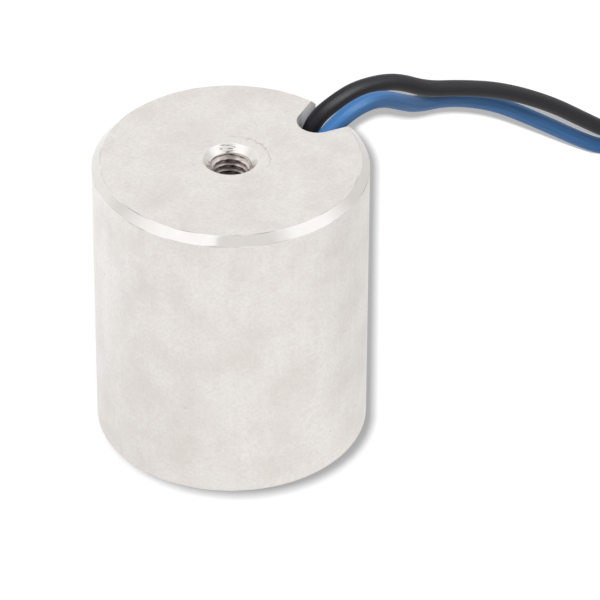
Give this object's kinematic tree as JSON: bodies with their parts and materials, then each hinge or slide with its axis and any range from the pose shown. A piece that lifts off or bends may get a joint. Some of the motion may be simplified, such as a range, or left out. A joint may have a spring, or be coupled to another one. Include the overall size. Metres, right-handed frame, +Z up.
{
  "type": "electro-permanent holding magnet",
  "caption": "Cylindrical nickel-plated holding magnet with a threaded blind hole in its back, a lead notch in the rim and two flying leads; current releases its hold.",
  "frame": {"origin": "centre of the holding face, on the surface that the magnet stands on", "axes": "+Z up the axis to the threaded back, +X through the lead notch"},
  "size_m": [0.0662, 0.02, 0.0235],
  "materials": {
    "nickel_steel": "satin nickel plate",
    "pole_steel": "ground steel",
    "magnet_alloy": "plated magnet alloy",
    "bobbin_plastic": "moulded nylon",
    "copper_winding": "enamelled copper",
    "winding_tape": "polyester tape",
    "potting_resin": "cast epoxy",
    "black_insulation": "extruded wire insulation",
    "blue_insulation": "extruded wire insulation",
    "shrink_sleeve": "heat-shrunk sleeve",
    "tinned_copper": "tinned strands",
    "tie_plastic": "nylon band"
  },
  "bodies": {
    "root": {"housing_cup": "nickel_steel", "pole_core": "pole_steel", "permanent_magnet": "magnet_alloy", "coil_bobbin": "bobbin_plastic", "coil_winding": "copper_winding", "winding_start_tail": "copper_winding", "winding_finish_tail": "copper_winding", "winding_tape": "winding_tape", "potting_resin": "potting_resin", "lead_seal": "potting_resin", "black_lead_inner": "black_insulation", "black_lead": "black_insulation", "black_lead_coil": "black_insulation", "blue_lead_inner": "blue_insulation", "blue_lead": "blue_insulation", "blue_lead_coil": "blue_insulation", "black_splice_sleeve": "shrink_sleeve", "blue_splice_sleeve": "shrink_sleeve", "black_splice_joint": "tinned_copper", "blue_splice_joint": "tinned_copper", "black_wire_end": "tinned_copper", "blue_wire_end": "tinned_copper", "lead_tie": "tie_plastic"}
  },
  "joints": []
}
